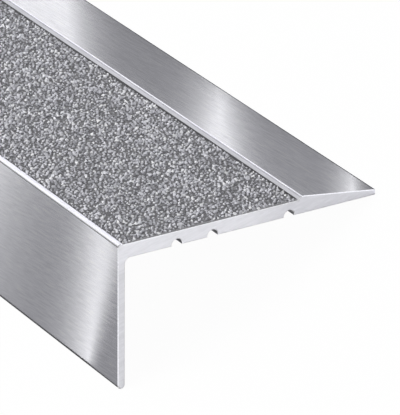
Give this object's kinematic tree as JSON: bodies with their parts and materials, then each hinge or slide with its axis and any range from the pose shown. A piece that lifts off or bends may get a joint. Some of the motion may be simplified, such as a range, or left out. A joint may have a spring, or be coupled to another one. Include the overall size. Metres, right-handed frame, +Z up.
{
  "type": "stair nosing",
  "caption": "Aluminium stair nosing: an L-shaped extrusion with a riser leg, a bonded grit strip in a shallow recess and a ramp at the back, with glue grooves underneath.",
  "frame": {"origin": "on the floor, in the middle of the length and of the depth that the nosing covers as it lies on the toe of its leg and the tip of its ramp", "axes": "+X along the extrusion, +Y from the riser leg to the ramp, +Z up; on a stair the section is turned back by 25.7 degrees about X, so that the plate is level"},
  "size_m": [1, 0.0832, 0.0359],
  "materials": {
    "mill_aluminium": "satin, drawn lengthwise",
    "mineral_grit": "coarse grit in grey resin"
  },
  "bodies": {
    "root": {"nosing_extrusion": "mill_aluminium", "grit_strip": "mineral_grit"}
  },
  "joints": []
}
